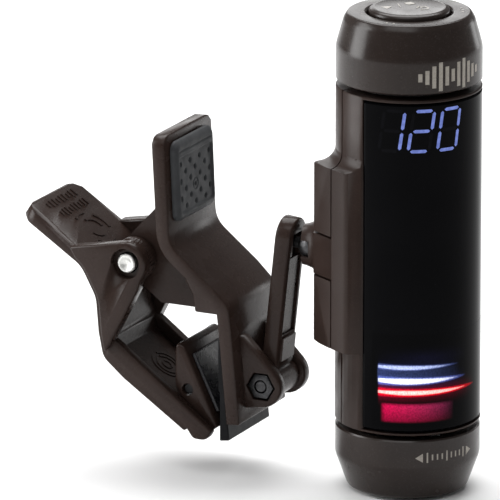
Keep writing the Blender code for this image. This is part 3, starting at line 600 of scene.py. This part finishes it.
def flat_mark(work, outline, height, centre, turn=0.0, thick=MARK_LIFT):
    """A thin printed shape on top of the head, outlined as (towards the display,
    across) from its centre."""
    a = math.radians(turn)
    rings = []
    for z in (height - MARK_ROOT, height + thick):
        ring = []
        for x, y in outline:
            px = centre[0] + x * math.cos(a) - y * math.sin(a)
            py = centre[1] + x * math.sin(a) + y * math.cos(a)
            radius, angle = math.hypot(px, py), math.degrees(math.atan2(py, px))
            ring.append(work.verts.new(on_head(angle, radius, z)))
        rings.append(ring)
    count = len(outline)
    work.faces.new(list(reversed(rings[0])))
    work.faces.new(rings[1])
    for k in range(count):
        n = (k + 1) % count
        work.faces.new((rings[0][k], rings[0][n], rings[1][n], rings[1][k]))


BUTTON_MARK_HEIGHT = 66.13
RIM_DOT_RADIUS = 7.1             # distance of the rim's dots from the head's axis


def button_marks():
    """Play, stop and power signs on the button, small dots on the rim."""
    work = bmesh.new()
    height = BUTTON_MARK_HEIGHT
    play = [(-0.6, -0.75), (0.75, 0), (-0.6, 0.75)]
    slash = [(-0.06, -0.9), (0.06, -0.9), (0.06, 0.9), (-0.06, 0.9)]
    stop = [(-0.55, -0.55), (0.55, -0.55), (0.55, 0.55), (-0.55, 0.55)]
    stroke = [(-0.11, 0.1), (0.11, 0.1), (0.11, 1.15), (-0.11, 1.15)]
    flat_mark(work, play, height, (-1.5, -2.5), 90)
    flat_mark(work, slash, height, (-1.4, -0.7), 65)
    flat_mark(work, stop, height, (-1.5, 1.1), 90)
    flat_mark(work, ring_outline(0.62, 0.85, 125, 415), height, (1.5, 1.1), 180)
    flat_mark(work, stroke, height, (1.5, 1.1), 90)
    place("button_print", work, BUTTON_PRINT, "button", 60)
    rim = bmesh.new()
    for degrees in (-60, -52, 52, 60, 68):
        a = math.radians(degrees)
        dot = ring_outline(0.0, 0.16, 0, 330, 11)[:12]
        centre = (RIM_DOT_RADIUS * math.cos(a), RIM_DOT_RADIUS * math.sin(a))
        flat_mark(rim, dot, CAP_TOP, centre, 0, 0.02)
    place("rim_print", rim, BUTTON_PRINT, "upper_dial", 60)


# --- the thumb pad ----------------------------------------------------------------------
PAD_CORNER, PAD_RIM, PAD_THICK = 1.35, 0.95, 0.95
PAD_COLUMNS, PAD_ROWS = 118, 110
FIELD = (4.95, 1.0, 8.9)          # half width, foot and top of the dimpled field
LIP_HEIGHT = FIELD[2] + 0.75      # a groove above the field
DIMPLE, DIMPLE_DEPTH = 0.4, 0.42
DIMPLE_PITCH = (1.43, 2.4)        # across and up; every other column is half a step up
FIRST_DIMPLE = 1.75               # height of the lowest dimples
RING_HEIGHT = FIRST_DIMPLE + DIMPLE_PITCH[1]


def inside_by(across, up, half_width, low, high, corner):
    """How far a point lies inside a rectangle with rounded corners."""
    beyond_y = abs(across) - half_width + corner
    beyond_z = abs(up - (low + high) / 2) - (high - low) / 2 + corner
    outside = math.hypot(max(beyond_y, 0.0), max(beyond_z, 0.0))
    return corner - outside - min(max(beyond_y, beyond_z), 0.0)


def dimples():
    """Places of the dimples, as (across, up); a ring takes the middle one's place."""
    places = []
    for column in range(-3, 4):
        for row in range(3):
            if (column, row) != (0, 1):
                rise = row + 0.5 * (column % 2)
                places.append((column * DIMPLE_PITCH[0], FIRST_DIMPLE + rise * DIMPLE_PITCH[1]))
    return places


def pad_depth(across, up, half, height, places):
    """How far the pad's front stands in at a point, in millimetres."""
    edge = inside_by(across, up, half, 0.0, height, PAD_CORNER)
    depth = 0.55 * max(0.0, 1 - edge / PAD_RIM) ** 2
    field = inside_by(across, up, *FIELD, 0.5)
    depth += 0.26 * min(1.0, max(0.0, field / 0.2))
    lip = abs(up - LIP_HEIGHT)
    depth += 0.2 * max(0.0, 1 - lip / 0.2) * min(1.0, max(0.0, edge - 0.5))
    for y, z in places:
        far = math.hypot(across - y, up - z)
        if far < DIMPLE:
            depth += DIMPLE_DEPTH * (1 - (far / DIMPLE) ** 2)
    far = math.hypot(across, up - RING_HEIGHT)
    depth += 0.16 * max(0.0, 1 - abs(far - 0.72) / 0.16) + 0.3 * max(0.0, 1 - (far / 0.36) ** 2)
    return depth


def tucked(across, up, half, height):
    """A point of the pad's grid, pulled in where the corner is rounded off."""
    over_y = abs(across) - half + PAD_CORNER
    over_z = abs(up - height / 2) - height / 2 + PAD_CORNER
    reach = math.hypot(max(over_y, 0), max(over_z, 0))
    if over_y > 0 and over_z > 0 and reach > PAD_CORNER:
        pull = 1 - PAD_CORNER / reach
        across -= math.copysign(over_y * pull, across)
        up -= math.copysign(over_z * pull, up - height / 2)
    return across, up


def thumb_pad():
    """Rubber pad with rounded corners and a field of dimples, on the tab's front."""
    low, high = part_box("thumb_pad")
    half, height = (high.y - low.y) / 2 / MM, (high.z - low.z) / MM
    corners = [v.co for v in frame["nodes"]["thumb_pad"].data.vertices]
    foot_x = max(p.x for p in corners if p.z < low.z + 1.5 * MM)
    top_x = max(p.x for p in corners if p.z > high.z - 1.5 * MM)
    middle_y = (low.y + high.y) / 2
    places = dimples()

    def spot(across, up, depth):
        share = up / height
        x = foot_x + (top_x - foot_x) * share - depth * MM
        return (x, middle_y + across * MM, low.z + up * MM)

    work = bmesh.new()
    grid = []
    for j in range(PAD_ROWS + 1):
        row = []
        for k in range(PAD_COLUMNS + 1):
            across, up = tucked(-half + 2 * half * k / PAD_COLUMNS, height * j / PAD_ROWS, half, height)
            row.append(work.verts.new(spot(across, up, pad_depth(across, up, half, height, places))))
        grid.append(row)
    for row, other in zip(grid, grid[1:]):
        for k in range(PAD_COLUMNS):
            work.faces.new((row[k], row[k + 1], other[k + 1], other[k]))
    rim = grid[0] + [row[-1] for row in grid[1:]] + grid[-1][-2::-1] + [row[0] for row in grid[-2:0:-1]]
    base = []
    for vert in rim:
        across, up = (vert.co.y - middle_y) / MM, (vert.co.z - low.z) / MM
        base.append(work.verts.new(spot(across, up, PAD_THICK)))
    for k, vert in enumerate(rim):
        n = (k + 1) % len(rim)
        work.faces.new((vert, rim[n], base[n], base[k]))
    work.faces.new(list(reversed(base)))
    bmesh.ops.remove_doubles(work, verts=work.verts, dist=0.003 * MM)
    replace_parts(place("fine_thumb_pad", work, PAD_RUBBER, "clip", 60), "thumb_pad")


# --- moulded relief on the front lever --------------------------------------------------
# Inner faces of the handle and of the jaw's floor: a start in the X-Z plane from
# the pivot's axis, and the way the face runs.
HANDLE_FACE = (Vector((-15.56, 6.19)), Vector((0.836, -0.549)))
FLOOR_FACE = (Vector((0.17, -14.93)), Vector((0.827, -0.562)))
HANDLE_RELIEF, FLOOR_RELIEF = 0.13, 0.12
HANDLE_RIBS = ((1.75, -3.4, 4.2), (3.75, -2.6, 4.4))      # a row's place along, its first and last rib
RIBS_IN_ROW, RIB_HALF_WIDTH = 9, 0.17
HANDLE_ARCS = ((2.9, -50, 45), (2.9, 70, 130), (2.9, 160, 215), (1.6, 80, 190), (1.6, -70, 10))
HANDLE_ARC_MIDDLE, HANDLE_ARC_HALF = (7.9, 0.4), 0.2
FLOOR_RINGS, FLOOR_RING_MIDDLE, FLOOR_RING_HALF = (0.7, 1.6, 2.3), (2.2, 0.4), 0.16


def raised(work, face, outline, middle, height):
    """A raised mark on one of the lever's faces, outlined as (along, across)."""
    start, run = face
    up = Vector((-run.y, run.x))
    rings = []
    for lift in (-MARK_ROOT, height):
        ring = []
        for along, across in outline:
            point = start + run * (along + middle[0]) + up * lift
            ring.append(work.verts.new(along_clip(point.x, across + middle[1], point.y)))
        rings.append(ring)
    work.faces.new(list(reversed(rings[0])))
    work.faces.new(rings[1])
    count = len(outline)
    for k in range(count):
        n = (k + 1) % count
        work.faces.new((rings[0][k], rings[0][n], rings[1][n], rings[1][k]))


def lever_relief():
    """Generic ribs and arcs on the handle, rings on the jaw's floor."""
    work = bmesh.new()
    wide = RIB_HALF_WIDTH
    for along, first, last in HANDLE_RIBS:
        for k in range(RIBS_IN_ROW):
            y = first + (last - first) * k / (RIBS_IN_ROW - 1)
            tall = 0.62 if k % 3 else 0.4
            rib = [(-tall, -wide), (tall, -wide), (tall, wide), (-tall, wide)]
            raised(work, HANDLE_FACE, rib, (along, y), HANDLE_RELIEF)
    for radius, first, last in HANDLE_ARCS:
        outline = ring_outline(radius - HANDLE_ARC_HALF, radius + HANDLE_ARC_HALF, first, last)
        raised(work, HANDLE_FACE, outline, HANDLE_ARC_MIDDLE, HANDLE_RELIEF)
    for radius in FLOOR_RINGS:
        for start in (10, 190):
            outline = ring_outline(radius - FLOOR_RING_HALF, radius + FLOOR_RING_HALF, start, start + 160, 14)
            raised(work, FLOOR_FACE, outline, FLOOR_RING_MIDDLE, FLOOR_RELIEF)
    place("lever_relief", work, LEVER_BROWN, "grip_lever", 40)


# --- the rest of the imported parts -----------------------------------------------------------
def refined_parts():
    """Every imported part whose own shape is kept, with its finish."""
    for node in ("front_housing", "battery_cover"):
        refine(node, BROWN)
    for node in ("rear_lever", "front_lever", "jaw_shoe", "arm"):
        refine(node, LEVER_BROWN)
    refine("fixed_jaw_pad", JAW_RUBBER, 0.4)
    refine("shoe_pad", SHOE_RUBBER, 0.12)
    refine("pivot_pin", BRIGHT)
    # The shoe's pin gets the near-black inner material as painted shade, so its end reads as the dark recess
    # of its hole.
    refine("shoe_pin", INNER_AND_PIN_SHADE)
    for node in ("arm_bolt", "hex_nut", "ball_stud"):
        refine(node, GUNMETAL)
    for node in ("torsion_spring", "battery_spring", "battery_contact", "top_return_spring",
                 "bottom_return_spring"):
        refine(node, SPRING, smooth=60)
    for node in ("top_hub", "bottom_hub", "button_switch", "digit_display", "light_guide", "battery",
                 "circuit_board", "vibration_sensor"):
        refine(node, INNER_AND_PIN_SHADE)


# --- floor, light and camera --------------------------------------------------------------
AZIMUTH, ELEVATION, DISTANCE = 26, 16, 1.2           # degrees from the front, degrees up, metres
SENSOR, VIEW_WIDTH = 36.0, 0.0671
BALL_RIGHT, BALL_UP = 0.00883, 0.00074               # the ball's place from the picture's middle
LIGHT_AIM = Vector((0.008, 0.0, 0.02))
FLOOR_GAP = 0.0004
ROOM_LIGHT = 0.23
# Name, azimuth, elevation, distance, width, height and power of each soft light.
LIGHTS = (
    ("left", -66, 14, 0.55, 0.26, 0.5, 3.3),
    ("right", 160, 0, 0.6, 0.14, 0.2, 0.25),
    ("above", 205, 66, 0.7, 0.7, 0.5, 7.0),
    ("behind", 213, 14, 0.9, 0.42, 0.28, 0.75),
    ("front", 5, 58, 0.8, 0.6, 0.3, 1.6),
)


def towards(azimuth, elevation):
    """The direction out to a place at an azimuth from the front and an elevation."""
    a, e = math.radians(azimuth), math.radians(elevation)
    return Vector((math.sin(a) * math.cos(e), -math.cos(a) * math.cos(e), math.sin(e)))


def camera():
    """The view from the front right and a little above, placed from the ball's joint."""
    back = towards(AZIMUTH, ELEVATION)
    right = Vector((math.cos(math.radians(AZIMUTH)), math.sin(math.radians(AZIMUTH)), 0))
    up = back.cross(right)
    aim = BALL - right * BALL_RIGHT - up * BALL_UP
    data = bpy.data.cameras.new("camera")
    data.sensor_width = SENSOR
    data.lens = SENSOR * DISTANCE / VIEW_WIDTH
    data.clip_start = 0.05
    item = bpy.data.objects.new("camera", data)
    item.matrix_world = Matrix.Translation(aim + back * DISTANCE) @ Matrix(
        (right, up, back)).transposed().to_4x4()
    bpy.context.scene.collection.objects.link(item)
    bpy.context.scene.camera = item


def softbox(name, azimuth, elevation, distance, width, tall, power):
    """A soft light aimed at the tuner's middle."""
    back = towards(azimuth, elevation)
    data = bpy.data.lights.new(name, "AREA")
    data.shape = "RECTANGLE"
    data.size = width
    data.size_y = tall
    data.energy = power
    item = bpy.data.objects.new(name, data)
    item.location = LIGHT_AIM + back * distance
    item.rotation_euler = back.to_track_quat("Z", "Y").to_euler()
    bpy.context.scene.collection.objects.link(item)


def floor():
    """A wide pale floor just under the lower dial."""
    n = Nodes("floor")
    n.link(n.ramp(n.noise(40.0), [(0.3, (0.86, 0.86, 0.86)), (0.7, (0.9, 0.9, 0.9))]),
           n.shader.inputs["Base Color"])
    n.set(Roughness=0.8, Specular_IOR_Level=0.1)
    work = bmesh.new()
    bmesh.ops.create_grid(work, x_segments=1, y_segments=1, size=3.0)
    bmesh.ops.translate(work, vec=(0, 0, BASE_Z - FLOOR_GAP), verts=work.verts)
    mesh = bpy.data.meshes.new("floor")
    work.to_mesh(mesh)
    work.free()
    mesh.materials.append(n.material)
    ground = bpy.data.objects.new("floor", mesh)
    bpy.context.scene.collection.objects.link(ground)


def studio():
    """A dim even room and the soft lights around the tuner."""
    world = bpy.data.worlds.new("studio")
    world.use_nodes = True
    sky = world.node_tree.nodes["Background"]
    sky.inputs["Color"].default_value = (1, 1, 1, 1)
    sky.inputs["Strength"].default_value = ROOM_LIGHT
    bpy.context.scene.world = world
    bpy.context.scene.view_settings.view_transform = "Standard"
    for row in LIGHTS:
        softbox(*row)


def main():
    refined_parts()
    top_dial()
    power_button()
    bottom_dial()
    window()
    numerals("120")
    light_bars()
    sound_bars()
    turn_marks()
    button_marks()
    thumb_pad()
    lever_relief()
    floor()
    studio()
    camera()


main()
